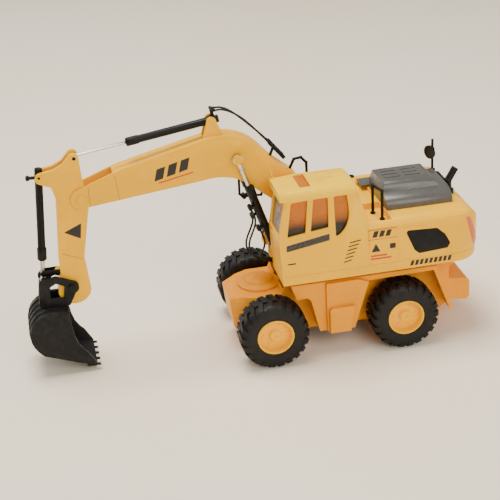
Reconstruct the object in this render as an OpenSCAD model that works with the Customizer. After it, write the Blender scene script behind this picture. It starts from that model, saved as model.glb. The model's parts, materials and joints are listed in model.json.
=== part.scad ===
// Wheeled toy excavator with a turning upper body, a working arm and free-rolling axles.
// X points forward to the bucket, Y to the machine's left, Z up from the ground.
// Side outlines are written as [u, z], where u runs forward from the turning axis of the upper body.

/* [Wheels] */
// Outside diameter of a tyre
tyre_d = 78; // [76:0.5:79]
// Width of a tyre
tyre_w = 36; // [32:1:36]
// Distance between the middles of the left and right tyres
track = 128; // [128:1:132]
// Distance between the axles
wheelbase = 150; // [148:1:152]
// Radius of an axle shaft
shaft_r = 3; // [2.6:0.1:3.2]
// Number of lugs round a tyre
lug_count = 22; // [16:1:26]

/* [Upper body] */
// Width of the upper body
body_w = 144; // [142:1:146]
// Height of the skirt's lower edge
skirt_z = 96; // [96:0.5:97]
// Height of the seam between skirt and shell
seam_z = 107; // [106:0.5:107]
// Height of the rear deck
deck_z = 157; // [155:1:159]

/* [Cab] */
// Height where the cab roof starts
eave_z = 194; // [193:0.5:195]
// Height of the cab roof
roof_z = 206; // [205:0.5:208]
// Distance of the cab's inner side wall from the middle of the machine
cab_y = 19; // [19:0.2:20]

/* [Arm] */
// Middle plane of the arm
arm_y = -5; // [-5:0.1:-4.8]
// Width of the boom
boom_w = 24; // [23.6:0.1:24]
// Width of the stick
stick_w = 18; // [17.6:0.1:18]
// Width of the bucket
bucket_w = 58; // [54:1:60]
// Radius of a cylinder barrel
barrel_r = 4.2; // [4:0.1:4.3]

/* [Fits] */
// Radial play between a pin and its bore
play = 0.06; // [0.03:0.01:0.09]
// Gap between parts that move past each other
gap = 0.4; // [0.3:0.05:0.5]

/* [Hidden] */
$fn = 48;

// The turning axis stands behind the middle of the machine's length
slew_x = -83;
axle_u = wheelbase / 2;
axle_z = tyre_d / 2;
half_w = body_w / 2;
tail_u = -175;
hull_y = 38;
hull_top = 84;
wall = 2.5;

// Pivots of the arm
boom_pivot = [11, 154];
tip_pivot = [265, 202];
bucket_pivot = [286, 100];
lift_foot = [58, 118];
lift_eye = [93, 227];
ear_pivot = [117, 269];
stick_eye = [267, 248];
curl_foot = [306, 231];
curl_eye = [317, 108];
idler_pivot = [300, 117];
lift_left_y = arm_y + 17.5;
lift_right_y = arm_y - 17.5;
boom_half = boom_w / 2;
stick_half = stick_w / 2;
pin_r = 3;
small_pin_r = 1.5;
lug_gap = 4.6;
eye_w = 4.6;
// Places of the hose fittings along a lift barrel
fitting_high = 56;
fitting_low = 29;

yellow = "#f1c83e";
roof_yellow = "#f7de5a";
arm_yellow = "#eebe3e";
orange = "#f0b234";
grey = "#787670";
black = "#2d2d2d";
chrome = "#c8c8cc";
smoke = "#6e4a32";
red = "#e16e50";

// ---------- helpers ----------

module at_slew() translate([slew_x, 0, 0]) children();

// Extrudes a side outline [u, z] from y1 to y2
module side_slab(y1, y2) translate([0, y2, 0]) rotate([90, 0, 0]) linear_extrude(y2 - y1) children();

// Extrudes a cross outline [y, z] from u1 to u2
module cross_slab(u1, u2) translate([u1, 0, 0]) rotate([90, 0, 90]) linear_extrude(u2 - u1) children();

// Extrudes a plan outline [u, y] from z1 to z2
module plan_slab(z1, z2) translate([0, 0, z1]) linear_extrude(z2 - z1) children();

// A cylinder across the machine at the side point p
module cross_pin(p, y1, y2, r) translate([p[0], y1, p[1]]) rotate([-90, 0, 0]) cylinder(h = y2 - y1, r = r);

// Turns the local X axis to run from side point a to side point b in the plane y
module along(a, b, y) {
    turn = atan2(b[1] - a[1], b[0] - a[0]);
    translate([a[0], y, a[1]]) rotate([0, -turn, 0]) children();
}

// A round bar on the local X axis
module bar(s1, s2, r) translate([s1, 0, 0]) rotate([0, 90, 0]) cylinder(h = s2 - s1, r = r);

// A bent round pipe through points [u, y, z]
module pipe(points, r) {
    for (i = [0:len(points) - 2]) {
        d = points[i + 1] - points[i];
        flat = norm([d[0], d[1]]);
        translate(points[i]) rotate([0, atan2(flat, d[2]), atan2(d[1], d[0])]) cylinder(h = norm(d), r = r, $fn = 20);
    }
    for (i = [1:len(points) - 2]) translate(points[i]) sphere(r = 1.15 * r, $fn = 20);
}

function bezier(a, b, c, d, n) = [for (i = [0:n]) let (t = i / n)
    pow(1 - t, 3) * a + 3 * pow(1 - t, 2) * t * b + 3 * (1 - t) * t * t * c + pow(t, 3) * d];

function arc(c, r, from, to, n) = [for (i = [0:n]) let (t = from + (to - from) * i / n)
    [c[0] + r * cos(t), c[1] + r * sin(t)]];

// Rings of a hose with 8 sides, one ring at each route point
hose_sides = 8;
function hose_dir(p, i) = let (a = p[max(i - 1, 0)], b = p[min(i + 1, len(p) - 1)]) (b - a) / norm(b - a);
function hose_ring(p, i, r) = let (t = hose_dir(p, i), n = [0, 1, 0] - t * t[1], e = n / norm(n), f = cross(t, e))
    [for (k = [0:hose_sides - 1]) let (q = 360 * k / hose_sides) p[i] + r * (e * cos(q) + f * sin(q))];

module hose(p, r) {
    rings = len(p);
    points = [for (i = [0:rings - 1]) each hose_ring(p, i, r)];
    sides = [for (i = [0:rings - 2]) for (k = [0:hose_sides - 1]) let (m = (k + 1) % hose_sides)
        [i * hose_sides + k, i * hose_sides + m, (i + 1) * hose_sides + m, (i + 1) * hose_sides + k]];
    first = [for (k = [0:hose_sides - 1]) hose_sides - 1 - k];
    last = [for (k = [0:hose_sides - 1]) (rings - 1) * hose_sides + k];
    polyhedron(points, concat(sides, [first, last]), convexity = 6);
}

// ---------- chassis ----------

hull_side = [[-140, 30], [-128, 21], [104, 21], [111, 28], [115, 64], [98, 68], [58, 68], [50, hull_top],
    [-133, hull_top], [-140, 76]];
hull_plan = [[-150, -hull_y], [84, -hull_y], [115, -22], [115, 22], [84, hull_y], [-150, hull_y]];
fender_side = [[51, 88], [45, 70], [33, 71], [29, 67], [20, 27], [-20, 27], [-38, 82], [-114, 83],
    [-133, 31], [-138, 31], [-118, 88]];
bumper_side = [[-139.9, 30], [-162, 26], [-166, 30], [-166, 50], [-162, 54], [-139.9, 56]];
rear_box_u = [-90, -54];
dome_u = 76;
dome_z = 68;
dome_r = 24;

module chassis_frame() color(orange) at_slew() {
    difference() {
        union() {
            intersection() {
                side_slab(-hull_y, hull_y) polygon(hull_side);
                plan_slab(0, 100) polygon(hull_plan);
            }
            for (s = [-1, 1]) scale_y(s) side_slab(hull_y, 60) polygon(fender_side);
            side_slab(-36, 36) polygon(bumper_side);
            translate([-149, 0, 54]) cylinder(h = 20, r = 8);
            translate([-149, 0, 60]) cylinder(h = 3, r = 10);
            translate([-149, 0, 69]) cylinder(h = 3, r = 10);
        }
        // Cavity over the drive, open to the belly in the middle
        translate([rear_box_u[0], -34, 24]) cube([145, 68, hull_top - 4 - 24]);
        translate([-52, -34, 20]) cube([104, 68, 10]);
        for (u = [-axle_u, axle_u]) {
            cross_pin([u, axle_z], -hull_y - 1, hull_y + 1, shaft_r + 0.6);
            for (s = [-1, 1]) scale_y(s) cross_pin([u, axle_z], 34, hull_y + 1, 5);
        }
        translate([0, 0, 70]) cylinder(h = 20, r = 9);
        // Seat of the nose dome
        translate([dome_u, 0, dome_z]) cylinder(h = 20, r = dome_r, $fn = 72);
        // Hollow fenders, open to the ground
        for (s = [-1, 1]) scale_y(s) side_slab(hull_y + 3, 57) offset(delta = -3) polygon(
            [[48, 90], [42, 67], [32, 68], [26, 64], [19, 20], [-19, 20], [-38, 90]]);
    }
}

module scale_y(s) {
    if (s > 0) children();
    else mirror([0, 1, 0]) children();
}

module belly_plate() color(black) at_slew() difference() {
    translate([-51.8, -33.8, 21]) cube([103.6, 67.6, 3]);
    for (u = [-46, 46], y = [-28, 28]) translate([u, y, 20]) cylinder(h = 5, r = 1.6);
    for (y = [-15:5:15]) translate([-35, y - 1, 20]) cube([70, 2, 2]);
}

module chassis_screws() color(chrome) at_slew() for (u = [-46, 46], y = [-28, 28]) translate([u, y, 21.6]) difference() {
    union() {
        cylinder(h = 8, r = 1.55);
        translate([0, 0, 2.4]) cylinder(h = 1.4, r = 2.8);
    }
    translate([-0.3, -1.2, -1]) cube([0.6, 2.4, 1.6]);
}

module slew_ring() color(black) at_slew() difference() {
    union() {
        translate([0, 0, hull_top]) cylinder(h = 7, r = 36, $fn = 96);
        translate([0, 0, hull_top + 7]) cylinder(h = skirt_z - gap - hull_top - 7, r = 32, $fn = 96);
    }
    translate([0, 0, hull_top - 1]) cylinder(h = 20, r = 8 + play);
}

module axle_bushes() color(black) at_slew() for (u = [-axle_u, axle_u], s = [-1, 1]) scale_y(s) difference() {
    cross_pin([u, axle_z], 34, hull_y, 4.98);
    cross_pin([u, axle_z], 30, hull_y + 5, shaft_r + play);
}

module gearbox_case() color(grey) at_slew() difference() {
    translate([rear_box_u[0] + 1, -14, 24]) cube([rear_box_u[1] - rear_box_u[0] - 2, 28, 34]);
    translate([rear_box_u[0] + 3, -12, 26]) cube([rear_box_u[1] - rear_box_u[0] - 6, 24, 30]);
    cross_pin([-axle_u, axle_z], -20, 20, shaft_r + 0.6);
}

module drive_motor() color(chrome) at_slew() {
    translate([rear_box_u[1] - 1, 0, 46]) rotate([0, 90, 0]) cylinder(h = 30, r = 10);
    translate([rear_box_u[1] + 29, 0, 46]) rotate([0, 90, 0]) cylinder(h = 3, r = 3);
}

module side_steps() color(orange) at_slew() for (s = [-1, 1]) scale_y(s) {
    side_slab(60, 64) polygon([[12, 27], [12, 87], [-26, 87], [-37, 82], [-20, 27]]);
    side_slab(64, 70) polygon([[10, 27], [10, 56], [8, 58], [-19, 58], [-14, 27]]);
}

module nose_dome() color(orange) at_slew() translate([dome_u, 0, dome_z]) difference() {
    rotate_extrude($fn = 72) polygon(concat([[0, 0], [dome_r, 0], [dome_r, 3], [18, 4.5]],
        bezier([17, 5], [15, 9], [8, 11], [0, 11], 8)));
    translate([0, 0, -1]) cylinder(h = 9, r = 7);
}

// ---------- axles ----------

module wheel_at(u, s) scale_y(s) translate([u, track / 2 - tyre_w / 2, axle_z]) rotate([-90, 0, 0]) children();

module shaft(u) cross_pin([u, axle_z], -70, 70, shaft_r);

module rim() {
    difference() {
        rotate_extrude($fn = 96) polygon([[shaft_r + 0.02, 0], [7, 0], [7, 23], [18.8, 23], [18.8, 4], [20.7, 4],
            [20.7, 34.4], [18.9, 34.4], [17.8, 26], [7.5, 27], [5.5, 31], [0, 31], [0, 24.5],
            [shaft_r + 0.02, 24.5]]);
        translate([0, 0, 30]) cylinder(h = 2, r = 2.4);
    }
    for (k = [0:5]) rotate([0, 0, 60 * k]) translate([12.4, 0, 25]) cylinder(h = 2.6, r = 1.7, $fn = 20);
}

module tyre() {
    r = tyre_d / 2;
    rotate_extrude($fn = 96) polygon([[20.75, 5], [24, 3], [30, 1.5], [34.5, 3], [36.6, 7], [37, 18], [36.6, 29],
        [34.5, 33], [30, 34.5], [24, 35.4], [20.75, 33.4]]);
    for (side = [0, 1]) for (k = [0:lug_count - 1]) rotate([0, 0, 360 / lug_count * (k + side / 2)])
        translate([33, -3, side == 0 ? 4 : 17]) cube([r - 33, 6, 15]);
}

module front_shaft() color(chrome) at_slew() shaft(axle_u);
module rear_shaft() color(chrome) at_slew() shaft(-axle_u);
module front_rims() color(yellow) at_slew() for (s = [-1, 1]) wheel_at(axle_u, s) rim();
module rear_rims() color(yellow) at_slew() for (s = [-1, 1]) wheel_at(-axle_u, s) rim();
module front_tyres() color(black) at_slew() for (s = [-1, 1]) wheel_at(axle_u, s) tyre();
module rear_tyres() color(black) at_slew() for (s = [-1, 1]) wheel_at(-axle_u, s) tyre();

// ---------- upper body ----------

bay_left = 19;
bay_right = -30;
bay_front = 50;
box_front = 44;
cab_front = 62;
seam_groove = 0.7;

function tail_plan(y, end) = concat(
    bezier([-138, y], [-158, y - 1], [end + 3, y - 22], [end, 18], 8),
    bezier([end, -18], [end + 3, 22 - y], [-158, 1 - y], [-138, -y], 8));

platform_plan = concat([[cab_front, half_w]], tail_plan(half_w, tail_u + 1.5), [[box_front, -half_w],
    [box_front, bay_right], [bay_front, bay_right], [bay_front, bay_left], [cab_front, bay_left]]);

module platform() color(yellow) at_slew() {
    difference() {
        plan_slab(skirt_z, seam_z) polygon(platform_plan);
        difference() {
            plan_slab(skirt_z - 1, seam_z - 3) offset(delta = -3) polygon(platform_plan);
            cylinder(h = 200, r = 30);
        }
        // Groove under the seam
        plan_slab(seam_z - seam_groove, seam_z + 1) difference() {
            offset(delta = 2) polygon(platform_plan);
            offset(delta = -seam_groove) polygon(platform_plan);
        }
    }
    translate([0, 0, 77]) cylinder(h = skirt_z - 77 + 1, r = 8);
}

module slew_retainer() color(black) at_slew() difference() {
    translate([0, 0, 77]) cylinder(h = hull_top - 4 - gap - 77, r = 13);
    translate([0, 0, 76]) cylinder(h = 20, r = 8.01);
}

shell_plan = concat([[-36, half_w]], tail_plan(half_w, tail_u), [[-36, -half_w]]);
shell_side = concat([[-30, seam_z], [-30, deck_z]],
    bezier([-141, deck_z], [-160, deck_z - 1], [-170, deck_z - 15], [-174.6, deck_z - 44], 10), [[-175, seam_z]]);
edge_r = 11;
shell_cross = concat([[half_w, seam_z]], arc([half_w - edge_r, deck_z - edge_r], edge_r, 0, 90, 8),
    arc([edge_r - half_w, deck_z - edge_r], edge_r, 90, 180, 8), [[-half_w, seam_z]]);

module shell_solid(inset) intersection() {
    plan_slab(seam_z, deck_z) offset(delta = -inset) polygon(shell_plan);
    side_slab(-half_w, half_w) offset(delta = -inset) polygon(shell_side);
    cross_slab(-180, -20) offset(delta = -inset) polygon(shell_cross);
}

grille_side = [[-76.5, 142.4], [-113, 140.6], [-122.4, 132], [-128.6, 120.6], [-125.6, 114.6], [-92.4, 112.6], [-87, 118]];
module grille_shape() offset(r = 3) offset(delta = -3) polygon(grille_side);

// Seats of the mast, the stack and the vent plate on the rear deck
mast_foot = [-150, -50];
stack_foot = [-146, 16];
vent_corner = [-152, -33];
vent_size = [11, 35];
seat_z = deck_z - 5;

module deck_seats() {
    translate([mast_foot[0], mast_foot[1], seat_z]) cylinder(h = 12, r = 3.55);
    translate([stack_foot[0], stack_foot[1], seat_z]) cylinder(h = 12, r = 6.05);
    translate([vent_corner[0] - 0.05, vent_corner[1] - 0.05, seat_z])
        cube([vent_size[0] + 0.1, vent_size[1] + 0.1, 12]);
}

module rear_body_shell() color(yellow) at_slew() difference() {
    shell_solid(0);
    deck_seats();
    difference() {
        translate([0, 0, -3]) shell_solid(3);
        translate([-66, -80, 145]) cube([40, 160, 30]);
    }
    // Pit behind the cab
    translate([-63, 19, 150]) cube([28, 47, 10]);
    translate([-63, -44, 153]) cube([20, 40, 10]);
    for (s = [-1, 1]) scale_y(s) side_slab(half_w - 1.2, half_w + 1) grille_shape();
    for (u = [-68, -31]) for (s = [-1, 1]) scale_y(s) translate([u - 0.3, half_w - 0.4, 100]) cube([0.6, 1, 46]);
}

cab_side = [[cab_front, seam_z], [64, 150], [56, eave_z], [-25, eave_z], [-36, deck_z], [-36, seam_z]];
cab_hollow = [[59.5, 100], [61.4, 150], [53, 200], [-21, 200], [-33.5, deck_z], [-33.5, 100]];
cab_lean = [[cab_y, seam_z], [half_w, seam_z], [half_w - 3.5, eave_z], [cab_y, eave_z]];
cab_hollow_lean = [[cab_y + wall, 100], [half_w - 2.3, 100], [half_w - 6.2, 200], [cab_y + wall, 200]];
window_front = [[49, 191.5], [30.5, 192.4], [34.5, 155.2], [54.8, 152.4]];
window_middle = [[24.4, 192.6], [8.2, 192.6], [8.7, 158], [28.8, 155.6]];
window_rear = concat([[2, 192.8], [-13, 192.8]], bezier([-14.4, 178], [-16, 163], [-11, 151], [1, 145.4], 6));

module soft_outline(points, r) offset(r = r) offset(delta = -r) polygon(points);

module cab_shell() color(yellow) at_slew() difference() {
    intersection() {
        side_slab(0, half_w) polygon(cab_side);
        cross_slab(-40, 70) polygon(cab_lean);
    }
    intersection() {
        side_slab(0, half_w) polygon(cab_hollow);
        cross_slab(-40, 70) polygon(cab_hollow_lean);
    }
    for (w = [window_front, window_middle, window_rear]) side_slab(50, 80) soft_outline(w, 1.5);
    side_slab(10, 30) soft_outline([[50, 189], [-12, 189], [-12, 150], [54, 150]], 3);
    cross_slab(50, 70) soft_outline([[24, 152], [65, 152], [63, 190], [24, 190]], 3);
    cross_slab(-40, -20) soft_outline([[27, 166], [61, 166], [61, 187], [27, 187]], 2);
    // Recessed lower front panel and moulded door lines
    translate([61.2, 24, 116]) rotate([0, 2, 0]) cube([5, 42, 26]);
    for (u = [-2.3, 58.4]) translate([u, half_w - 0.6, 100]) cube([0.6, 2, 44]);
}

roof_side = [[61, eave_z], [61, roof_z - 4], [34, roof_z], [-19, roof_z], [-26, roof_z - 7], [-26, eave_z]];
roof_cross = concat([[cab_y, eave_z], [half_w - 2.3, eave_z]],
    bezier([half_w - 2.3, eave_z + 3], [half_w - 3, roof_z - 3], [half_w - 8, roof_z - 0.6], [half_w - 16, roof_z], 6),
    [[cab_y + 4, roof_z], [cab_y, roof_z - 4]]);
module skylight_shape() translate([25, 27]) square([12, 34]);

module cab_roof() color(roof_yellow) at_slew() {
    difference() {
        intersection() {
            side_slab(0, half_w) polygon(roof_side);
            cross_slab(-40, 70) polygon(roof_cross);
        }
        intersection() {
            side_slab(cab_y + 3, 65) polygon([[50, 190], [53, roof_z - 6], [34, roof_z - 3], [-18, roof_z - 3],
                [-22, roof_z - 8], [-22, 190]]);
        }
        plan_slab(roof_z - 8, roof_z + 2) skylight_shape();
        for (y = [26, 43]) translate([-3, y, roof_z - 0.8]) cube([17, 12, 2]);
    }
    translate([57, 21.5, roof_z - 4]) rotate([0, 12, 0]) cylinder(h = 14, r1 = 1, r2 = 0.5);
}

module windshield() color(smoke) at_slew()
    side_slab(22, 65) polygon([[61.3, 149.6], [53.9, 192], [52.7, 191.8], [60.1, 149.4]]);

module cab_windows() color(smoke) at_slew() {
    intersection() {
        for (w = [window_front, window_middle, window_rear]) side_slab(50, 80) offset(delta = 1.2) polygon(w);
        cross_slab(-40, 70) polygon([[half_w - 2.4, 100], [half_w - 6.1, eave_z - 0.1], [half_w - 7.3, eave_z - 0.1],
            [half_w - 3.6, 100]]);
    }
    side_slab(cab_y + wall, cab_y + wall + 1.2) polygon([[51, 190], [-13, 190], [-13, 149], [55, 149]]);
    side_slab(26, 62) polygon([[-31.4, 164], [-24.5, 188], [-23.4, 188], [-30.3, 164]]);
    plan_slab(roof_z - 2.6, roof_z - 1.4) offset(delta = -0.1) skylight_shape();
}

module driver_seat() color(black) at_slew() {
    side_slab(31, 58) soft_outline([[20, 148], [24, 152], [22, 158], [-3, 157], [-9, 177], [-17, 178], [-21, 150]], 1.5);
    translate([-14, 36, seam_z]) cube([28, 17, 43.5]);
}

module steering_wheel() color(black) at_slew() {
    along([50, seam_z + 0.1], [41, 160], 45) {
        bar(0, 54, 2.2);
        translate([54, 0, 0]) rotate([0, 90, 0]) {
            rotate_extrude() translate([9, 0]) circle(r = 1.2, $fn = 16);
            for (k = [0:2]) rotate([0, 0, 120 * k]) translate([0, -0.8, -0.8]) cube([9, 1.6, 1.6]);
        }
    }
}

module right_box() color(yellow) at_slew() difference() {
    side_slab(-half_w, bay_right) polygon([[box_front, seam_z], [box_front - 3, 148], [box_front - 12, deck_z],
        [-36, deck_z], [-36, seam_z]]);
    side_slab(3 - half_w, bay_right - 3) polygon([[box_front - 3, 100], [box_front - 6, 146],
        [box_front - 13, deck_z - 3], [-33, deck_z - 3], [-33, 100]]);
    translate([-40, 0, deck_z]) rotate([0, 90, 0]) translate([0, -half_w, 0]) rotate([0, 0, 45])
        cube([7, 7, 200], center = true);
}

hood_low = concat([[46, deck_z]], bezier([46, 161], [45.4, 167], [39, 170], [28, 172], 5), [[-21, 172], [-23, deck_z]]);
hood_high = concat([[29, 171]], bezier([28, 175], [26.5, 180], [23, 182], [17, 182.5], 5), [[-15, 182.5], [-20, 180], [-22, 171]]);

module engine_hood() color(grey) at_slew() difference() {
    union() {
        cross_slab(-140, -64) polygon(hood_low);
        intersection() {
            cross_slab(-134, -60) polygon(hood_high);
            side_slab(-30, 40) polygon([[-65, 171], [-67, 180], [-70, 183], [-120, 183], [-125, 180], [-131, 171]]);
        }
        translate([-124, 15, 170]) cylinder(h = 9, r = 5);
    }
    difference() {
        cross_slab(-137, -67) offset(delta = -3) polygon([[46, 150], [46, 163], [44, 165], [28, 172], [24, 181],
            [-17, 181], [-21, 172], [-23, 150]]);
        translate([-150, -40, 168]) cube([30, 90, 30]);
    }
    for (u = [-90, -113], k = [0:2]) translate([u, 12 - 9 * k, 180]) cube([18, 2, 4]);
    for (k = [0:3]) translate([-76 - 9 * k, -19, 178.5]) cube([4, 4, 6]);
}

module body_grilles() color(black) at_slew() {
    for (s = [-1, 1]) scale_y(s) side_slab(half_w - 1.2, half_w - 0.2) offset(delta = -0.1) grille_shape();
    translate([vent_corner[0], vent_corner[1], seat_z]) cube([vent_size[0], vent_size[1], deck_z + 4 - seat_z]);
    for (k = [0:7]) translate([vent_corner[0] + 1, vent_corner[1] + 1.5 + 4.4 * k, deck_z + 4]) cube([9, 2, 2]);
}

module walkway_plate() color(grey) at_slew() translate([-63 - 12, -48, deck_z])
    linear_extrude(3) polygon([[0, 0], [19, 0], [19, 22], [8, 22], [0, 16]]);

module fuel_cap() color(black) at_slew() translate([-50, -62, deck_z]) difference() {
    linear_extrude(1.6) offset(r = 3.5) square([8, 0.6], center = true);
    translate([-4, -0.8, 0.9]) cube([8, 1.6, 2]);
}

module handrail() color(black) at_slew() {
    pipe([[-52, 32, 150], [-52, 32, 184], [-57, 51, 184], [-57, 51, 150]], 1.6);
    for (p = [[-52, 32], [-57, 51]]) translate([p[0], p[1], 150]) cylinder(h = 1.5, r = 3);
}

module mirror_mast() color(black) at_slew() {
    translate([mast_foot[0], mast_foot[1], seat_z]) cylinder(h = deck_z + 2 - seat_z, r = 3.5);
    translate([mast_foot[0], mast_foot[1], deck_z + 2]) cylinder(h = 37, r = 1.5);
}

module side_mirror() color(black) at_slew() translate([mast_foot[0], mast_foot[1], 177]) difference() {
    union() {
        cylinder(h = 8, r = 2.8);
        rotate([0, 0, 27]) translate([1.6, 0, 4]) rotate([0, 90, 0]) difference() {
            union() {
                cylinder(h = 2, r = 2.8);
                translate([0, 0, 1.8]) cylinder(h = 2.4, r = 8.1);
            }
            translate([0, 0, 3.6]) cylinder(h = 2, r = 7.2);
        }
    }
    translate([0, 0, -1]) cylinder(h = 10, r = 1.5 + play);
}

module exhaust_pipe() color(black) at_slew() difference() {
    union() {
        translate([stack_foot[0], stack_foot[1], seat_z]) cylinder(h = deck_z + 3 - seat_z, r = 6);
        along([-146, deck_z], [-145, 170], stack_foot[1]) bar(0, 13, 4);
        translate([-145, stack_foot[1], 170]) sphere(r = 4.6);
        along([-145, 170], [-155, 187], stack_foot[1]) bar(0, 17, 4);
    }
    along([-145, 170], [-155, 187], stack_foot[1]) bar(10, 20, 3.1);
}

reflector_side = [[-147, 148], [-153, 146], [-169, 109], [-160, 109]];

module tail_reflectors() color(red) at_slew() for (s = [-1, 1]) scale_y(s) intersection() {
    side_slab(20, half_w + 2) polygon(reflector_side);
    difference() {
        plan_slab(seam_z, deck_z - 9) offset(delta = 0.6) polygon(shell_plan);
        plan_slab(seam_z - 1, deck_z) polygon(shell_plan);
    }
}

module boom_bracket() color(yellow) at_slew() {
    plan_slab(seam_z, seam_z + 3) polygon([[-20, bay_right + 0.2], [64, bay_right + 0.2], [64, -15],
        [bay_front, -15], [bay_front, 5], [64, 5], [64, bay_left - 0.2], [-20, bay_left - 0.2]]);
    for (y = [7.5, -20.5]) difference() {
        side_slab(y, y + 3) polygon(concat([[-12, seam_z + 2.9], [34, seam_z + 2.9]], arc(boom_pivot, 12, 0, 180, 10)));
        cross_pin(boom_pivot, y - 1, y + 4, pin_r + 0.01);
    }
    for (m = [lift_left_y, lift_right_y], y = [m - 6.3, m + 4.3]) difference() {
        side_slab(y, y + 2) polygon(concat([[48, seam_z + 2.9], [64, seam_z + 2.9]], arc(lift_foot, 6, 0, 180, 8)));
        cross_pin(lift_foot, y - 1, y + 4, small_pin_r + 0.51);
    }
}

module bracket_pins() color(black) at_slew() {
    cross_pin(boom_pivot, -20.5, 10.5, pin_r);
    for (m = [lift_left_y, lift_right_y]) cross_pin(lift_foot, m - 6.3, m + 6.3, small_pin_r + 0.5);
}

// ---------- boom ----------

boom_outline = concat(arc(tip_pivot, 11, -105, 70, 10), [[222, 229.5]],
    bezier([132, 250.5], [110, 257], [84, 254], [66, 234], 8), [[53, 219], [28, 198]],
    arc(boom_pivot, 13, 160, 310, 8), [[60, 176], [84, 196]], bezier([92, 201], [104, 207], [118, 208], [134, 205], 5));
fork_u = 226;
ear_outline = concat([[104, 250], [128, 250]], arc(ear_pivot, 5.5, 0, 180, 8));

// One moulded half: a side wall with a rim round its edge, open inside and forked at the tip
module boom_half(s) translate([0, arm_y, 0]) scale_y(s) difference() {
    union() {
        side_slab(boom_half - 2.6, boom_half) polygon(boom_outline);
        side_slab(0, boom_half - 2.5) difference() {
            polygon(boom_outline);
            offset(delta = -2.4) intersection() {
                polygon(boom_outline);
                square([fork_u + 2.4, 300]);
            }
            translate([fork_u + 2.4, 150]) square([100, 100]);
        }
        side_slab(lug_gap, lug_gap + 2.6) polygon(ear_outline);
        side_slab(0, boom_half) difference() {
            translate(boom_pivot) circle(r = 7);
            circle(r = 1);
        }
        intersection() {
            translate([93, boom_half + 2.2 - 22, 237]) sphere(r = 22, $fn = 64);
            side_slab(boom_half - 0.1, boom_half + 5) translate([93, 237]) circle(r = 11);
        }
    }
    cross_pin(boom_pivot, -1, boom_half + 1, pin_r + play);
    cross_pin(ear_pivot, 0, 20, small_pin_r + 0.01);
    cross_pin(tip_pivot, 0, 20, pin_r + 0.01);
    cross_pin(lift_eye, 0, 20, 2.31);
}

module boom_left_half() color(arm_yellow) at_slew() boom_half(1);
module boom_right_half() color(arm_yellow) at_slew() boom_half(-1);

module boom_pins() color(arm_yellow) at_slew() translate([0, arm_y, 0]) {
    cross_pin(tip_pivot, -boom_half, boom_half, pin_r);
    cross_pin(ear_pivot, -7.6, 7.6, small_pin_r);
    for (s = [-1, 1]) scale_y(s) {
        cross_pin(tip_pivot, boom_half, boom_half + 1.4, 5);
        cross_pin(lift_eye, boom_half - 2.6, 21.2, 2.3);
        cross_pin(lift_eye, 20.6, 21.8, 5);
    }
}

module boom_pipes() color(black) at_slew() difference() {
    union() {
        pipe([[90, arm_y, 203], [90.5, arm_y, 179], [87.5, arm_y, 175.5], [66, arm_y, 174.5], [63, arm_y, 184]], 1.4);
        pipe([[34, arm_y, 198], [27, arm_y, 212], [19, arm_y, 213], [13, arm_y, 206], [13, arm_y, 172]], 1.6);
    }
    side_slab(-30, 30) polygon(boom_outline);
}

module hose_clamp() color(black) at_slew() difference() {
    union() {
        for (y = [arm_y - 4.5, arm_y + 4.5]) along([55, 237], [43, 222], y) bar(0, 26, 2.2);
        along([50, 230.8], [46, 225.8], arm_y) translate([0, -4.5, -2]) cube([6.4, 9, 3.6]);
        along([49.5, 230], [53, 221.5], arm_y) bar(2, 14, 1.6);
    }
    side_slab(-30, 30) polygon(boom_outline);
}

// ---------- stick ----------

stick_outline = concat(arc([268, 247.5], 6, 50, 190, 6), [[261, 228], [258, 190], [269, 133], [266, 95]],
    arc([284, 96], 18.5, 190, 350, 10), [[297, 116], [297, 131], [291, 204], [295, 219]],
    arc([304.5, 229.5], 6, -60, 80, 6), [[290, 238], [280, 243]]);

module stick_half(s) translate([0, arm_y, 0]) scale_y(s) difference() {
    union() {
        side_slab(lug_gap, stick_half) polygon(stick_outline);
        side_slab(0, lug_gap + 0.1) difference() {
            intersection() {
                polygon(stick_outline);
                translate([250, 70]) square([60, 142]);
            }
            offset(delta = -2.6) intersection() {
                polygon(stick_outline);
                translate([250, 70]) square([60, 142]);
            }
        }
        side_slab(0, lug_gap + 0.1) difference() {
            translate(tip_pivot) circle(r = 6);
            circle(r = 1);
        }
        side_slab(0, 3) polygon(concat([[295, 112.5]], arc(idler_pivot, 3, -60, 60, 5), [[295, 121.5]]));
    }
    cross_pin(tip_pivot, -1, 20, pin_r + play);
    cross_pin(bucket_pivot, -1, 20, 2.51);
    cross_pin(curl_foot, -1, 20, small_pin_r + 0.01);
    cross_pin(stick_eye, -1, 20, 2.01);
    cross_pin(idler_pivot, -1, 20, 1 + play);
}

module stick_left_half() color(arm_yellow) at_slew() stick_half(1);
module stick_right_half() color(arm_yellow) at_slew() stick_half(-1);

module stick_pins() color(black) at_slew() translate([0, arm_y, 0]) {
    cross_pin(bucket_pivot, -14 - gap, 14 + gap, 2.5);
    cross_pin(curl_foot, -stick_half, stick_half, small_pin_r);
    for (s = [-1, 1]) scale_y(s) {
        cross_pin(bucket_pivot, 14 + gap, 16, 4.6);
        cross_pin(stick_eye, lug_gap - 1.6, stick_half, 2);
    }
}

module bucket_idler() color(black) at_slew() translate([0, arm_y, 0]) {
    for (s = [-1, 1]) scale_y(s) side_slab(3 + gap, 5) polygon(concat(arc(idler_pivot, 3, 90, 270, 6),
        arc([316, 117], 3, -90, 90, 6)));
    cross_pin(idler_pivot, -3 - gap - 0.1, 3 + gap + 0.1, 1);
}

// ---------- bucket ----------

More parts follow.
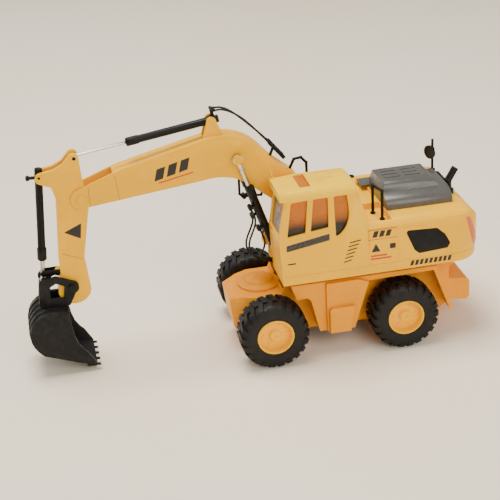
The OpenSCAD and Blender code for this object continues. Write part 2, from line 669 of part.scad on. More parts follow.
bucket_y1 = arm_y - bucket_w / 2;
bucket_y2 = arm_y + bucket_w / 2;
bucket_outline = concat([[294, 79], [316, 79]], bezier([328, 74], [342, 64], [345, 44], [327, 27.5], 8),
    [[295, 15], [274, 7.4], [270, 9], [279, 25]], bezier([283, 29], [293, 40], [293, 64], [294, 79], 5));
bucket_inside = concat([[250, 76.6], [315.6, 76.6]], bezier([326.6, 72], [339.6, 62.6], [342, 45], [325.6, 29.8], 8),
    [[294.2, 17.4], [270, 9.2], [250, 9.2]]);
ear_side = concat(arc(bucket_pivot, 7, 100, 250, 7), [[291, 79], [323, 79], [325, 83]], arc(curl_eye, 5.5, -30, 110, 6),
    [[303, 115]]);
bucket_window = [[297, 88], [311, 88], [312, 103], [304, 107.5], [295, 103]];

module bucket_shell() color(black) at_slew() {
    difference() {
        side_slab(bucket_y1, bucket_y2) polygon(bucket_outline);
        side_slab(bucket_y1 + 2.2, bucket_y2 - 2.2) polygon(bucket_inside);
    }
    translate([0, arm_y, 0]) for (s = [-1, 1]) scale_y(s) difference() {
        side_slab(stick_half + gap, 14) polygon(ear_side);
        side_slab(5, 15) soft_outline(bucket_window, 2);
        cross_pin(bucket_pivot, 0, 20, 2.5 + play);
    }
    translate([0, arm_y, 0]) for (s = [-1, 1]) scale_y(s) cross_pin(curl_eye, 5.6, stick_half + gap + 0.5, 2.2);
    // Ribs over the back
    for (k = [0:3]) translate([0, bucket_y1 + 9.6 + 12.2 * k, 0]) side_slab(0, 2.2) difference() {
        offset(delta = 1) polygon(bucket_outline);
        polygon(bucket_outline);
        translate([250, 0]) square([64, 100]);
        translate([250, 0]) square([100, 33]);
    }
}

module bucket_teeth() color(black) at_slew() for (k = [0:4])
    translate([0, bucket_y1 + 0.2 + (bucket_w - 6.4) / 4 * k, 0])
        side_slab(0, 6) polygon([[274, 7.3], [282, 10.2], [281, 6.6], [266, 6]]);

// ---------- cylinders ----------

// A barrel with its foot eye at the origin, open at s2
module barrel(s1, s2, foot_r, foot_half, bore, collar) difference() {
    union() {
        bar(s1, s2, barrel_r);
        bar(s2 - 14, s2 - 1, collar);
        rotate([90, 0, 0]) cylinder(h = 2 * foot_half, r = foot_r, center = true);
    }
    bar(7, s2 + 5, bore + play);
}

// Lift cylinder barrel with two hose fittings on its front side
module lift_barrel(y) along(lift_foot, lift_eye, y) {
    difference() {
        union() {
            barrel(0, 80, 5.2, 3.9, 2.5, 5);
            for (s = [fitting_high, fitting_low]) translate([s, 0, -8]) cylinder(h = 5, r = 1.8);
        }
        rotate([90, 0, 0]) cylinder(h = 20, r = small_pin_r + 0.5 + play, center = true);
    }
    for (s = [fitting_high, fitting_low]) translate([s, 0, -8.2]) rotate([90, 0, 0]) translate([0, 0, -5])
        cylinder(h = 9, r = 2.6);
}

module boom_barrel_left() color(black) at_slew() lift_barrel(lift_left_y);
module boom_barrel_right() color(black) at_slew() lift_barrel(lift_right_y);

module lift_rod(y) along(lift_foot, lift_eye, y) {
    length = norm(lift_eye - lift_foot);
    difference() {
        union() {
            bar(34, length, 2.5);
            translate([length, 0, 0]) rotate([90, 0, 0]) cylinder(h = eye_w, r = 5.6, center = true);
            bar(length - 10, length - 5, 3);
            bar(length - 15, length - 13.5, 3.2);
        }
        translate([length, 0, 0]) rotate([90, 0, 0]) cylinder(h = 10, r = 4.1, center = true);
    }
}

module boom_rod_left() color(chrome) at_slew() lift_rod(lift_left_y);
module boom_rod_right() color(chrome) at_slew() lift_rod(lift_right_y);

module stick_barrel() color(black) at_slew() {
    along(ear_pivot, stick_eye, arm_y) difference() {
        barrel(-9, 94, barrel_r, barrel_r - 0.2, 1.6, 4.8);
        rotate([90, 0, 0]) cylinder(h = 20, r = small_pin_r + play, center = true);
    }
    along([114, 272.8], [115.5, 280], arm_y) bar(0, 8, 1.9);
    cross_pin([115.5, 281], arm_y - 6.5, arm_y + 6.5, 1.9);
    for (y = [arm_y - 4.5, arm_y + 4.5]) along([115.5, 281], [111.5, 281], y) bar(0, 4, 1.5);
}

module stick_rod() color(chrome) at_slew() along(ear_pivot, stick_eye, arm_y) {
    length = norm(stick_eye - ear_pivot);
    difference() {
        union() {
            bar(50, length, 1.6);
            translate([length, 0, 0]) rotate([90, 0, 0]) cylinder(h = eye_w, r = 3.6, center = true);
        }
        translate([length, 0, 0]) rotate([90, 0, 0]) cylinder(h = 10, r = 2, center = true);
    }
}

module bucket_barrel() color(black) at_slew() {
    along(curl_foot, curl_eye, arm_y) difference() {
        barrel(-8, 99, barrel_r, barrel_r - 0.2, 2.4, 5.2);
        rotate([90, 0, 0]) cylinder(h = 20, r = small_pin_r + play, center = true);
    }
    along([308.5, 229], [318, 229.4], arm_y) bar(0, 9.5, 1.9);
    cross_pin([318, 229.4], arm_y - 3, arm_y + 3, 2.2);
}

module bucket_rod() color(chrome) at_slew() along(curl_foot, curl_eye, arm_y) {
    length = norm(curl_eye - curl_foot);
    difference() {
        union() {
            bar(46, length, 2.4);
            translate([length, 0, 0]) rotate([90, 0, 0]) cylinder(h = eye_w, r = 3.8, center = true);
        }
        translate([length, 0, 0]) rotate([90, 0, 0]) cylinder(h = 10, r = 2.2, center = true);
    }
}

// ---------- hoses ----------

hose_r = 1.1;
boom_hose_left_route = [[111.2, -0.5, 281], [106, -0.5, 281], [100, -0.4, 279.5], [94, -0.2, 276.5],
    [88, 0, 272.5], [82, 0, 267.5], [77, 0, 262.5], [72, 0, 257], [67, -0.2, 251], [61.5, -0.4, 244.5], [55, -0.5, 237]];
boom_hose_right_route = [[111.2, -9.5, 281], [106, -9.5, 280.8], [100, -9.8, 278.8], [94, -10.2, 275],
    [88, -10.6, 270], [82, -10.8, 264.5], [77, -10.8, 259.5], [72, -10.6, 254.5], [67, -10.2, 249.5],
    [61.5, -9.8, 243.8], [55, -9.5, 237]];
lift_hose_inner_route = [[81.9, 10.5, 166.1], [80.6, 10.5, 161], [80, 10.5, 156], [80.5, 10.4, 150], [82.5, 10.2, 144],
    [85, 10, 138], [87.5, 9.8, 132], [89, 9.6, 126], [89, 9.4, 120], [87, 9.3, 114], [83, 9.2, 109], [77, 9.1, 105],
    [70, 9, 102.5], [60, 9, 101.5], [50, 9, 101.5]];
lift_hose_outer_route = [[81.8, 14.5, 166.1], [79.6, 14.5, 161], [78.2, 14.6, 156], [78.4, 14.8, 150], [80, 15, 144],
    [82.5, 15, 138], [85, 15, 132], [86.5, 14.8, 126], [86.5, 14.4, 120], [84.5, 14, 114], [80.5, 13.6, 109],
    [75, 13.2, 105], [68, 13, 102.5], [59, 13, 101.5], [50, 13, 101.5]];
lift_hose_low_route = [[73.2, 16, 140.6], [71.5, 16.6, 136], [69.8, 17, 130.5], [69.4, 17, 125], [70.8, 17, 119.5],
    [73, 17, 114.5], [73.6, 17, 109.5], [70.8, 17, 105], [65, 16.8, 102], [58, 16.6, 101], [50, 16.5, 101]];

module boom_hose_left() color(black) at_slew() hose(boom_hose_left_route, hose_r);
module boom_hose_right() color(black) at_slew() hose(boom_hose_right_route, hose_r);
module lift_hose_inner() color(black) at_slew() hose(lift_hose_inner_route, hose_r);
module lift_hose_outer() color(black) at_slew() hose(lift_hose_outer_route, hose_r);
module lift_hose_low() color(black) at_slew() hose(lift_hose_low_route, hose_r);

// ---------- assembly ----------

chassis_frame();
belly_plate();
chassis_screws();
slew_ring();
axle_bushes();
gearbox_case();
drive_motor();
side_steps();
nose_dome();
front_shaft();
front_rims();
front_tyres();
rear_shaft();
rear_rims();
rear_tyres();
platform();
slew_retainer();
rear_body_shell();
cab_shell();
cab_roof();
windshield();
cab_windows();
driver_seat();
steering_wheel();
right_box();
engine_hood();
body_grilles();
walkway_plate();
fuel_cap();
handrail();
mirror_mast();
side_mirror();
exhaust_pipe();
tail_reflectors();
boom_bracket();
bracket_pins();
boom_left_half();
boom_right_half();
boom_pins();
boom_pipes();
hose_clamp();
stick_left_half();
stick_right_half();
stick_pins();
bucket_idler();
bucket_shell();
bucket_teeth();
boom_barrel_left();
boom_barrel_right();
boom_rod_left();
boom_rod_right();
stick_barrel();
stick_rod();
bucket_barrel();
bucket_rod();
boom_hose_left();
boom_hose_right();
lift_hose_inner();
lift_hose_outer();
lift_hose_low();
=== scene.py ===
import json
import math

import bmesh
import bpy
from mathutils import Matrix, Vector


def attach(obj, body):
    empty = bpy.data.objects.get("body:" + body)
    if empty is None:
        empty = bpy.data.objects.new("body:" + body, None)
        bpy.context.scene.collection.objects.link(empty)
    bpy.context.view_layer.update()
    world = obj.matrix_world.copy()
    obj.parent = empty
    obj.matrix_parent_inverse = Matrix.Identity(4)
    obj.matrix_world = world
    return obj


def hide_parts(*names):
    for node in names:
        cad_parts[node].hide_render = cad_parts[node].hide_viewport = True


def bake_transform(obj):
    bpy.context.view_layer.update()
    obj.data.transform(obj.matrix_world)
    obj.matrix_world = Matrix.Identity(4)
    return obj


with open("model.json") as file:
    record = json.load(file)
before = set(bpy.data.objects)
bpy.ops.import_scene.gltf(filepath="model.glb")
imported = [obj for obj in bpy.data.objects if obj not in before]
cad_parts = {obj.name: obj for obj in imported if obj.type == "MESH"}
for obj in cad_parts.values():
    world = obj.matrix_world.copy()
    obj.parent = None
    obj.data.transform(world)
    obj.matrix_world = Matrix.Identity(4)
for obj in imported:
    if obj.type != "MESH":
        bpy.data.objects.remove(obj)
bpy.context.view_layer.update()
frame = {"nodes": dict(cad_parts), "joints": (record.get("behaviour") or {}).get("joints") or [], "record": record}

# Lengths below are in millimetres; u runs forward from the turning axis of the upper body.
MM = 0.001
JOINTS = {j["name"]: j for j in frame["joints"]}
SLOT_OF = {s["node"]: s["material_slot"] for s in frame["record"]["subparts"]}
SLEW_X = JOINTS["slew"]["pos_m"][0] / MM


def at(u, y, z):
    return Vector(((u + SLEW_X) * MM, y * MM, z * MM))


def joint_point(name):
    x, y, z = JOINTS[name]["pos_m"]
    return x / MM - SLEW_X, y / MM, z / MM


# ---------- camera, light and floor ----------

AZIMUTH, ELEVATION, ROLL = math.radians(169.86), math.radians(25.62), math.radians(-3.68)
DISTANCE = 1.383
LENS = 87.9
TARGET = Vector((0.0006, 0.0, 0.1108))


def make_camera():
    towards = Vector((math.sin(AZIMUTH) * math.cos(ELEVATION), -math.cos(AZIMUTH) * math.cos(ELEVATION),
                      math.sin(ELEVATION)))
    right = (-towards).cross(Vector((0, 0, 1))).normalized()
    up = right.cross(-towards)
    right, up = (math.cos(ROLL) * right + math.sin(ROLL) * up, math.cos(ROLL) * up - math.sin(ROLL) * right)
    data = bpy.data.cameras.new("camera")
    data.lens = LENS
    data.sensor_width = 36
    data.clip_end = 50
    camera = bpy.data.objects.new("camera", data)
    bpy.context.scene.collection.objects.link(camera)
    matrix = Matrix((right, up, towards)).transposed().to_4x4()
    matrix.translation = TARGET + towards * DISTANCE
    camera.matrix_world = matrix
    bpy.context.scene.camera = camera


def area_light(name, place, aim, size, power, color=(1, 1, 1)):
    data = bpy.data.lights.new(name, "AREA")
    data.shape = "DISK"
    data.size = size
    data.energy = power
    data.color = color
    light = bpy.data.objects.new(name, data)
    bpy.context.scene.collection.objects.link(light)
    light.location = place
    light.rotation_euler = (Vector(aim) - Vector(place)).to_track_quat("-Z", "Y").to_euler()
    return light


def make_world(color, strength):
    world = bpy.data.worlds.new("studio")
    world.use_nodes = True
    background = world.node_tree.nodes["Background"]
    background.inputs["Color"].default_value = (*color, 1)
    background.inputs["Strength"].default_value = strength
    bpy.context.scene.world = world


WORLD_COLOR = (1.0, 0.95, 0.88)
WORLD_STRENGTH = 0.45

make_camera()
make_world(WORLD_COLOR, WORLD_STRENGTH)
area_light("key", (0.25, -0.25, 2.3), (0, 0, 0.1), 1.3, 64, (1.0, 0.96, 0.9))
area_light("fill", (-0.7, 2.3, 1.5), (0, 0, 0.1), 2.0, 46, (1.0, 0.96, 0.91))
area_light("back", (0.9, -1.6, 1.4), (0, 0, 0.1), 1.5, 8, (1.0, 0.96, 0.91))


# ---------- materials ----------

def srgb(r, g, b):
    def linear(c):
        c /= 255
        return c / 12.92 if c <= 0.04045 else ((c + 0.055) / 1.055) ** 2.4
    return linear(r), linear(g), linear(b)


class Nodes:
    """Small helper that adds nodes and links to one material."""

    def __init__(self, name):
        self.material = bpy.data.materials.new(name)
        self.material.use_nodes = True
        self.tree = self.material.node_tree
        self.shader = self.tree.nodes["Principled BSDF"]
        coords = self.tree.nodes.new("ShaderNodeTexCoord")
        self.place = coords.outputs["Object"]

    def add(self, kind, inputs=(), **settings):
        node = self.tree.nodes.new("ShaderNode" + kind)
        for key, value in settings.items():
            setattr(node, key, value)
        for key, value in dict(inputs).items():
            socket = node.inputs[key]
            if isinstance(value, bpy.types.NodeSocket):
                self.tree.links.new(value, socket)
            else:
                socket.default_value = value
        return node

    def noise(self, scale, detail=3.0, rough=0.5):
        return self.add("TexNoise", {"Vector": self.place, "Scale": scale, "Detail": detail,
                                     "Roughness": rough}).outputs["Fac"]

    def span(self, value, low, high, new_low, new_high):
        return self.add("MapRange", {"Value": value, "From Min": low, "From Max": high, "To Min": new_low,
                                     "To Max": new_high}).outputs["Result"]

    def blend(self, amount, first, second, mode="MIX"):
        node = self.add("Mix", data_type="RGBA", blend_type=mode)
        for index, value in ((0, amount), (6, first), (7, second)):
            socket = node.inputs[index]
            if isinstance(value, bpy.types.NodeSocket):
                self.tree.links.new(value, socket)
            elif index == 0:
                socket.default_value = value
            else:
                socket.default_value = (*value, 1)
        return node.outputs[2]

    def link(self, output, name):
        self.tree.links.new(output, self.shader.inputs[name])

    def bump(self, height, strength, distance):
        node = self.add("Bump", {"Height": height, "Strength": strength, "Distance": distance})
        self.link(node.outputs["Normal"], "Normal")


def moulded(name, color, rough=(0.3, 0.42), grain=0.12, vary=0.05, wear=0.25, coat=0.0, edge=None, gloss=0.2):
    """Moulded plastic: slow colour drift, fine grain, handling haze and lighter worn edges."""
    n = Nodes(name)
    base = srgb(*color)
    dark = tuple(c * (1 - vary) for c in base)
    light = tuple(min(1, c * (1 + vary)) for c in base)
    drift = n.span(n.noise(22, 3), 0.35, 0.65, 0, 1)
    body = n.blend(drift, dark, light)
    worn = tuple(min(1, c * 1.18 + 0.02) for c in base) if edge is None else srgb(*edge)
    point = n.add("NewGeometry").outputs["Pointiness"]
    rub = n.span(point, 0.52, 0.6, 0, wear)
    scuff = n.span(n.noise(160, 4), 0.45, 0.6, 0, 1)
    amount = n.add("Math", {0: rub, 1: scuff}, operation="MULTIPLY").outputs[0]
    n.link(n.blend(amount, body, worn), "Base Color")
    n.link(n.span(n.noise(70, 4, 0.6), 0.3, 0.7, rough[0], rough[1]), "Roughness")
    n.bump(n.noise(1400, 2), grain, 0.0002)
    n.shader.inputs["IOR"].default_value = 1.46
    n.shader.inputs["Specular IOR Level"].default_value = gloss
    n.shader.inputs["Coat Weight"].default_value = coat
    return n.material


def soft_rubber(name, color, rough=(0.55, 0.75)):
    """Tyre and hose rubber: dusty patches, fine pores and a weak sheen."""
    n = Nodes(name)
    base = srgb(*color)
    dust = tuple(c * 1.7 + 0.004 for c in base)
    patches = n.span(n.noise(45, 5, 0.65), 0.5, 0.75, 0, 0.5)
    n.link(n.blend(patches, base, dust), "Base Color")
    n.link(n.span(n.noise(110, 3), 0.3, 0.7, rough[0], rough[1]), "Roughness")
    n.bump(n.noise(1800, 3), 0.3, 0.0002)
    n.shader.inputs["Specular IOR Level"].default_value = 0.3
    return n.material


def plated(name, color):
    """Bright plated plastic with faint draw lines and smudges."""
    n = Nodes(name)
    n.shader.inputs["Metallic"].default_value = 1.0
    smudge = n.span(n.noise(90, 4), 0.4, 0.7, 0, 1)
    n.link(n.blend(smudge, srgb(*color), tuple(c * 0.82 for c in srgb(*color))), "Base Color")
    n.link(n.span(n.noise(200, 3), 0.3, 0.7, 0.08, 0.24), "Roughness")
    n.bump(n.noise(900, 2), 0.06, 0.0001)
    return n.material


def window(name, painted_shade_color, painted_lit_color, low_z, high_z, alpha):
    """Tinted moulded pane whose colour paints the view into the cab: painted shade, darker towards its lower edge, and
    a painted lit interior towards its upper edge.
    """
    n = Nodes(name)
    split = n.add("SeparateXYZ", {0: n.place}).outputs["Z"]
    height = n.span(split, low_z * MM, high_z * MM, 0, 1)
    # painted shade low and painted lit interior high: colour and opacity follow height
    n.link(n.blend(height, srgb(*painted_shade_color), srgb(*painted_lit_color)), "Base Color")
    n.link(n.span(height, 0, 1, alpha[0], alpha[1]), "Alpha")
    n.link(n.span(n.noise(60, 3), 0.3, 0.7, 0.06, 0.16), "Roughness")
    n.bump(n.noise(25, 2), 0.05, 0.0006)
    n.material.surface_render_method = "BLENDED"
    return n.material


def printed(name, color, rough=0.35):
    """Ink of a printed mark: small density changes and a satin surface."""
    n = Nodes(name)
    base = srgb(*color)
    n.link(n.blend(n.span(n.noise(400, 3), 0.35, 0.65, 0, 1), tuple(c * 0.85 for c in base), base), "Base Color")
    n.link(n.span(n.noise(300, 3), 0.3, 0.7, rough, rough + 0.15), "Roughness")
    n.bump(n.noise(2500, 2), 0.1, 0.0001)
    return n.material


MATERIALS = {
    "body_yellow": moulded("body_yellow", (250, 186, 0)),
    "roof_yellow": moulded("roof_yellow", (251, 200, 10)),
    "arm_yellow": moulded("arm_yellow", (249, 183, 0)),
    "chassis_orange": moulded("chassis_orange", (246, 160, 0)),
    "grey_plastic": moulded("grey_plastic", (80, 79, 76), rough=(0.24, 0.36), wear=0.35, gloss=0.6),
    "black_plastic": moulded("black_plastic", (17, 17, 17), rough=(0.3, 0.48), wear=0.3, edge=(60, 59, 58)),
    "bucket_grey": moulded("bucket_grey", (21, 21, 22), rough=(0.36, 0.52), grain=0.2, wear=0.4, edge=(70, 69, 68)),
    "tyre_rubber": soft_rubber("tyre_rubber", (14, 14, 15), (0.45, 0.65)),
    "hose_rubber": soft_rubber("hose_rubber", (16, 16, 17), (0.4, 0.6)),
    "chrome_plate": plated("chrome_plate", (216, 216, 220)),
    "screw_steel": plated("screw_steel", (176, 176, 180)),
    # both panes carry painted shade at the bottom; the tinted one paints the shaded cab interior below and the lit
    # orange interior above
    "clear_window": window("clear_window", (206, 204, 200), (220, 220, 218), 150, 192, (0.35, 0.25)),
    "tinted_window": window("tinted_window", (30, 24, 22), (232, 130, 20), 160, 174, (0.8, 0.5)),
    "reflector_red": moulded("reflector_red", (226, 108, 78), rough=(0.2, 0.3), vary=0.08),
    "ink_black": printed("ink_black", (16, 15, 15)),
    "ink_red": printed("ink_red", (214, 52, 16)),
    "ink_slate": printed("ink_slate", (48, 42, 44), 0.2),
    "ink_amber": printed("ink_amber", (176, 112, 0), 0.4),
}


def floor_material():
    n = Nodes("floor_cream")
    tone = n.span(n.noise(1.4, 2), 0.3, 0.7, 0, 1)
    n.link(n.blend(tone, srgb(251, 238, 215), srgb(253, 243, 225)), "Base Color")
    n.link(n.span(n.noise(6, 3), 0.3, 0.7, 0.75, 0.9), "Roughness")
    n.bump(n.noise(300, 3), 0.03, 0.0005)
    return n.material


MATERIALS["floor_cream"] = floor_material()


# ---------- mesh helpers ----------

def new_object(name, mesh, slot):
    piece = bpy.data.objects.new(name, mesh)
    bpy.context.scene.collection.objects.link(piece)
    mesh.materials.append(MATERIALS[slot])
    return piece


def mesh_from(name, points, faces):
    mesh = bpy.data.meshes.new(name)
    mesh.from_pydata([tuple(p) for p in points], [], faces)
    mesh.update()
    bm = bmesh.new()
    bm.from_mesh(mesh)
    bmesh.ops.recalc_face_normals(bm, faces=bm.faces)
    bm.to_mesh(mesh)
    bm.free()
    return mesh


def soften(piece, width, segments=2, angle=32):
    """Rounds the edges of a moulded piece and smooths what is left."""
    mesh = piece.data
    mesh.polygons.foreach_set("use_smooth", [True] * len(mesh.polygons))
    bevel = piece.modifiers.new("round", "BEVEL")
    bevel.width = width * MM
    bevel.segments = segments
    bevel.limit_method = "ANGLE"
    bevel.angle_limit = math.radians(angle)
    bevel.harden_normals = True
    bevel.miter_outer = "MITER_ARC"
    return piece


FLOOR_HALF = 8


def make_floor():
    corners = [(-FLOOR_HALF, -FLOOR_HALF, 0), (FLOOR_HALF, -FLOOR_HALF, 0), (FLOOR_HALF, FLOOR_HALF, 0),
               (-FLOOR_HALF, FLOOR_HALF, 0)]
    mesh = mesh_from("floor", corners, [(0, 1, 2, 3)])
    floor = new_object("floor", mesh, "floor_cream")


make_floor()


# ---------- hoses ----------

HOSE_D = 2.2
HOSES = {
    "boom_hose_left": ("stick_cylinder", "boom", [
        (111.2, -0.5, 281), (106, -0.5, 281), (100, -0.4, 279.5), (94, -0.2, 276.5), (88, 0, 272.5), (82, 0, 267.5),
        (77, 0, 262.5), (72, 0, 257), (67, -0.2, 251), (61.5, -0.4, 244.5), (55, -0.5, 237)]),
    "boom_hose_right": ("stick_cylinder", "boom", [
        (111.2, -9.5, 281), (106, -9.5, 280.8), (100, -9.8, 278.8), (94, -10.2, 275), (88, -10.6, 270),
        (82, -10.8, 264.5), (77, -10.8, 259.5), (72, -10.6, 254.5), (67, -10.2, 249.5), (61.5, -9.8, 243.8),
        (55, -9.5, 237)]),
    "lift_hose_inner": ("lift_barrel_left", "upper_body", [
        (81.9, 10.5, 166.1), (80.6, 10.5, 161), (80, 10.5, 156), (80.5, 10.4, 150), (82.5, 10.2, 144), (85, 10, 138),
        (87.5, 9.8, 132), (89, 9.6, 126), (89, 9.4, 120), (87, 9.3, 114), (83, 9.2, 109), (77, 9.1, 105),
        (70, 9, 102.5), (60, 9, 101.5), (50, 9, 101.5)]),
    "lift_hose_outer": ("lift_barrel_left", "upper_body", [
        (81.8, 14.5, 166.1), (79.6, 14.5, 161), (78.2, 14.6, 156), (78.4, 14.8, 150), (80, 15, 144), (82.5, 15, 138),
        (85, 15, 132), (86.5, 14.8, 126), (86.5, 14.4, 120), (84.5, 14, 114), (80.5, 13.6, 109), (75, 13.2, 105),
        (68, 13, 102.5), (59, 13, 101.5), (50, 13, 101.5)]),
    "lift_hose_low": ("lift_barrel_left", "upper_body", [
        (73.2, 16, 140.6), (71.5, 16.6, 136), (69.8, 17, 130.5), (69.4, 17, 125), (70.8, 17, 119.5), (73, 17, 114.5),
        (73.6, 17, 109.5), (70.8, 17, 105), (65, 16.8, 102), (58, 16.6, 101), (50, 16.5, 101)]),
}
HOSE_STEPS = 5
HOSE_SIDES = 16


def smooth_route(route, steps):
    """Catmull-Rom curve through the route's points."""
    points = [at(*p) for p in route]
    ends = [points[0] * 2 - points[1]] + points + [points[-1] * 2 - points[-2]]
    curve = []
    for i in range(len(points) - 1):
        a, b, c, d = ends[i:i + 4]
        for k in range(steps):
            t = k / steps
            curve.append(0.5 * (2 * b + (c - a) * t + (2 * a - 5 * b + 4 * c - d) * t * t
                                + (3 * b - a - 3 * c + d) * t ** 3))
    curve.append(points[-1])
    return curve


def tube(curve, radius, sides):
    """Points and faces of a closed tube along a curve."""
    points, faces = [], []
    for i, p in enumerate(curve):
        way = (curve[min(i + 1, len(curve) - 1)] - curve[max(i - 1, 0)]).normalized()
        first = Vector((0, 1, 0))
        first = (first - way * first.dot(way)).normalized()
        second = way.cross(first)
        for k in range(sides):
            q = 2 * math.pi * k / sides
            points.append(p + radius * (math.cos(q) * first + math.sin(q) * second))
    for i in range(len(curve) - 1):
        for k in range(sides):
            m = (k + 1) % sides
            faces.append((i * sides + k, i * sides + m, (i + 1) * sides + m, (i + 1) * sides + k))
    faces.append(tuple(range(sides - 1, -1, -1)))
    faces.append(tuple((len(curve) - 1) * sides + k for k in range(sides)))
    return points, faces


def make_hoses():
    for node, (mover, holder, route) in HOSES.items():
        curve = smooth_route(route, HOSE_STEPS)
        points, faces = tube(curve, HOSE_D / 2 * MM, HOSE_SIDES)
        mesh = mesh_from(node + "_tube", points, faces)
        mesh.polygons.foreach_set("use_smooth", [len(p.vertices) == 4 for p in mesh.polygons])
        hose = new_object(node + "_tube", mesh, "hose_rubber")
        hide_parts(node)
        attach(hose, holder)
        bpy.context.view_layer.update()
        hose.parent = None
        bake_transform(hose)


make_hoses()


# ---------- carried CAD nodes ----------

ROUNDING = {
    "chassis_frame": 0.8, "belly_plate": 0.3, "slew_ring": 0.6, "gearbox_case": 0.6, "side_steps": 0.8,
    "nose_dome": 0.5, "front_rims": 0.35, "rear_rims": 0.35, "platform": 0.5, "rear_body_shell": 0.5,
    "cab_shell": 0.4, "cab_roof": 0.8, "driver_seat": 1.0, "steering_wheel": 0.3, "right_box": 1.0,
    "engine_hood": 0.9, "body_grilles": 0.3, "walkway_plate": 0.6, "fuel_cap": 0.3, "mirror_mast": 0.3,
    "side_mirror": 0.4, "exhaust_pipe": 0.3, "tail_reflectors": 0.4, "boom_bracket": 0.5, "boom_left_half": 0.6,
    "boom_right_half": 0.6, "boom_pins": 0.4, "hose_clamp": 0.4, "stick_left_half": 0.6, "stick_right_half": 0.6,
    "stick_pins": 0.3, "bucket_idler": 0.4, "bucket_shell": 0.4, "bucket_teeth": 0.25,
}

# Dissolving the flat triangles would open a face here
KEPT_TRIANGLES = {"cab_roof"}
SMALL_ROUNDING = 0.2
WIDE_ROUNDING = 0.5
WELD_DISTANCE = 0.002
FLAT_DEGREES = 0.4


def carry_nodes():
    for name, node in frame["nodes"].items():
        node.data.materials.clear()
        node.data.materials.append(MATERIALS[SLOT_OF[name]])
        weld = node.modifiers.new("weld", "WELD")
        weld.merge_threshold = WELD_DISTANCE * MM
        if name not in KEPT_TRIANGLES:
            flat = node.modifiers.new("flat", "DECIMATE")
            flat.decimate_type = "DISSOLVE"
            flat.angle_limit = math.radians(FLAT_DEGREES)
        width = ROUNDING.get(name, SMALL_ROUNDING)
        soften(node, width, 3 if width >= WIDE_ROUNDING else 2)


carry_nodes()


# ---------- tyres ----------

WHEEL_R = 39
TYRE_W = 36
WHEEL_Y = 46
LUGS = 22
RING = 132
TYRE_ROUNDING = 0.45
TYRE_SHARP_DEGREES = 34
# Half of the carcass outline from the bead to the middle of the tread: (axial place, radius)
SIDEWALL = [(33.0, 20.8), (34.9, 21.2), (35.5, 22.4), (35.0, 23.8), (35.2, 24.6), (35.7, 27.0), (35.6, 30.0),
            (35.0, 33.0), (33.8, 35.2), (31.5, 36.6), (26.0, 37.0), (18.0, 37.1)]
# A lug from the sidewall over the shoulder to just past the middle: (axial place, radius, half width)
LUG = [(35.5, 32.2, 2.6), (35.4, 34.4, 3.0), (34.6, 36.8, 3.2), (32.8, 38.4, 3.2), (30.0, 38.95, 3.1),
       (26.0, 39.0, 3.0), (21.0, 39.0, 2.8), (16.2, 38.9, 2.6)]
LUG_SKEW = 7.0
LUG_DEPTH = 2.8
LUG_REACH = 20
SIDE_LUG_R = 36
SIDE_LUG_DEPTH = 0.6
SIDE_LUG_INSET = 3.2
LUG_END = LUG[-1][0]


def wheel_point(u, side, axial, radius, angle):
    return at(u + radius * math.cos(angle), side * (WHEEL_Y + axial), WHEEL_R + radius * math.sin(angle))


def lathe(u, side, outline, steps):
    points = [wheel_point(u, side, a, r, 2 * math.pi * k / steps) for k in range(steps) for a, r in outline]
    count = len(outline)
    faces = [(k * count + i, k * count + (i + 1) % count, (k + 1) % steps * count + (i + 1) % count,
              (k + 1) % steps * count + i) for k in range(steps) for i in range(count)]
    return points, faces


def lug_block(u, side, angle, flip):
    """One tread block that wraps from the sidewall over the shoulder."""
    points, faces = [], []
    for a, r, half in LUG:
        lean = math.radians(LUG_SKEW) * (TYRE_W - a) / LUG_REACH
        axial = TYRE_W - a if flip else a
        inner_axial = max(a - SIDE_LUG_INSET, LUG_END) if r < SIDE_LUG_R else a
        inner_axial = TYRE_W - inner_axial if flip else inner_axial
        inner_r = r - (SIDE_LUG_DEPTH if r < SIDE_LUG_R else LUG_DEPTH)
        for radius, place in ((r, axial), (inner_r, inner_axial)):
            for sign in (-1, 1):
                points.append(wheel_point(u, side, place, radius, angle + lean + sign * half / radius))
    for i in range(len(LUG) - 1):
        a, b = 4 * i, 4 * i + 4
        faces += [(a, a + 1, b + 1, b), (a + 2, b + 2, b + 3, a + 3), (a, b, b + 2, a + 2),
                  (a + 1, a + 3, b + 3, b + 1)]
    last = 4 * (len(LUG) - 1)
    faces += [(0, 2, 3, 1), (last, last + 1, last + 3, last + 2)]
    return points, faces


def make_tyre(name, u, side):
    outline = SIDEWALL + [(TYRE_W - a, r) for a, r in reversed(SIDEWALL[:-1])]
    points, faces = lathe(u, side, outline, RING)
    for k in range(LUGS):
        for flip in (False, True):
            angle = 2 * math.pi * (k + (0.5 if flip else 0)) / LUGS
            block, sides = lug_block(u, side, angle, flip)
            start = len(points)
            points += block
            faces += [tuple(start + i for i in f) for f in sides]
    tyre = new_object(name, mesh_from(name, points, faces), "tyre_rubber")
    soften(tyre, TYRE_ROUNDING, 2, TYRE_SHARP_DEGREES)
    return tyre


def make_tyres():
    for axle in ("front", "rear"):
        u = joint_point(axle + "_axle_spin")[0]
        for side, word in ((1, "left"), (-1, "right")):
            tyre = make_tyre(f"{axle}_tyre_{word}", u, side)
            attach(tyre, axle + "_axle")
            if side == 1:
                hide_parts(axle + "_tyres")


make_tyres()


# ---------- printed marks ----------

INK = 0.12
INK_SUNK = 0.3


BODY_Y = 72.0
SEAM_Z = 107
CAB_HEIGHT = 87
CAB_LEAN = 3.5
BOOM_Y = 7.0
STICK_Y = 4.0


def body_side(u, z):
    return BODY_Y


def cab_side(u, z):
    return BODY_Y - CAB_LEAN * (z - SEAM_Z) / CAB_HEIGHT


def boom_side(u, z):
    return BOOM_Y


def stick_side(u, z):
    return STICK_Y


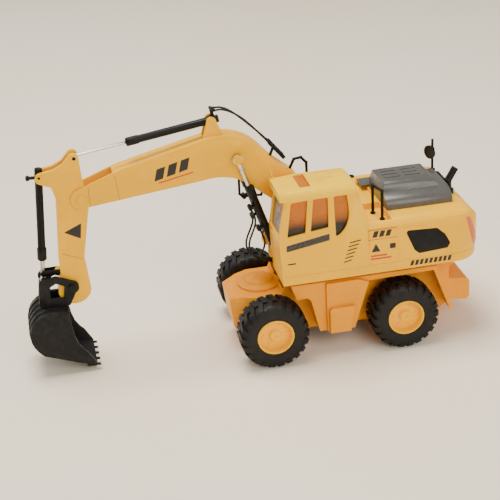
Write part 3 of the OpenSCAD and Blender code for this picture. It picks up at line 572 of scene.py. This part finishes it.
def mark(name, outlines, side, slot, body):
    """Thin printed plates that lie on a side face, one per outline of (u, z) points."""
    points, faces = [], []
    for outline in outlines:
        start, count = len(points), len(outline)
        points += [at(u, side(u, z) - INK_SUNK, z) for u, z in outline]
        points += [at(u, side(u, z) + INK, z) for u, z in outline]
        faces += [tuple(range(start, start + count)), tuple(range(start + count, start + 2 * count))[::-1]]
        for i in range(count):
            j = (i + 1) % count
            faces.append((start + i, start + j, start + count + j, start + count + i))
    piece = new_object(name, mesh_from(name, points, faces), slot)
    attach(piece, body)
    return piece


def rounded(corners, radius, steps=5):
    """Outline with its corners rounded by quadratic curves."""
    outline = []
    for i, corner in enumerate(corners):
        before, after = Vector(corners[i - 1]), Vector(corners[(i + 1) % len(corners)])
        here = Vector(corner)
        start = here + (before - here).normalized() * radius
        end = here + (after - here).normalized() * radius
        for k in range(steps + 1):
            t = k / steps
            p = (1 - t) ** 2 * start + 2 * (1 - t) * t * here + t * t * end
            outline.append((p.x, p.y))
    return outline


def slanted_bar(u, z, length, height, rise=0.0, lean=0.0):
    """A bar that starts at its front lower corner (u, z) and runs back; rise and lean slope it."""
    return [(u, z), (u - length, z + rise), (u - length + lean, z + rise + height), (u + lean, z + height)]


def bar_between(a, b, width=0.6):
    """Outline of a thin straight bar from a to b."""
    way = (Vector(b) - Vector(a)).normalized() * width / 2
    return [(a[0] - way.y, a[1] + way.x), (b[0] - way.y, b[1] + way.x), (b[0] + way.y, b[1] - way.x),
            (a[0] + way.y, a[1] - way.x)]


def make_marks():
    mark("cab_slot_window", [rounded([(56.4, 136), (56.4, 143.2), (8.2, 151), (8.2, 143.4)], 1.2)], cab_side,
         "ink_slate", "upper_body")
    mark("cab_handle_slot", [rounded([(56, 120.6), (56, 122.2), (46.6, 122.2), (46.6, 120.6)], 0.7)], cab_side,
         "ink_black", "upper_body")
    vents = []
    for k in range(6):
        t = k / 5
        vents.append(slanted_bar(-14 + 7.4 * t, 136 - 22 * t, 12.6 - 3.6 * t, 1.4, 1.8))
    mark("cab_vent_stripes", vents, cab_side, "ink_black", "upper_body")
    mark("body_square", [rounded([(-58.8, 123.8), (-58.8, 130), (-65.6, 130), (-65.6, 123.8)], 1.6)], body_side,
         "ink_black", "upper_body")
    mark("body_lines", [slanted_bar(-34.5, 148, 33, 0.7), slanted_bar(-34.5, 136.6, 33, 0.7)], body_side, "ink_red",
         "upper_body")
    mark("body_blocks", [slanted_bar(-39 - 7.4 * k, 139.5, 5.2, 7.2, 0, -2.4) for k in range(3)], body_side,
         "ink_black", "upper_body")
    mark("body_triangle", [rounded([(-38, 122), (-43, 132), (-48.2, 122)], 0.9)], body_side, "ink_black",
         "upper_body")
    mark("body_bars", [slanted_bar(-37, 116.2, 18.5, 2.0), slanted_bar(-37, 112.6, 23.5, 2.0)], body_side, "ink_red",
         "upper_body")
    mark("skirt_blocks", [slanted_bar(-82 - 5.4 * k, 99, 3.6, 6.2, 0, -1.6) for k in range(9)], body_side,
         "ink_black", "upper_body")
    mark("boom_blocks", [slanted_bar(184.5 - 13.6 * k, 211.5 + 3.4 * k, 9.6, 13.6, 2.4, -3.4) for k in range(3)],
         boom_side, "ink_black", "boom")
    mark("boom_line", [slanted_bar(180, 208.4, 38.5, 1.5, 7.6)], boom_side, "ink_red", "boom")
    mark("boom_seams", [bar_between((226.6, 224.5), (223.9, 196.1)), bar_between((256, 214), (256, 193.5))], boom_side,
         "ink_amber", "boom")
    mark("stick_seam", [bar_between((293, 140.4), (271, 130.6))], stick_side, "ink_amber", "stick")
    mark("stick_triangle", [rounded([(287.6, 165), (268, 173.4), (270.4, 155.4)], 0.9)], stick_side, "ink_black",
         "stick")


make_marks()
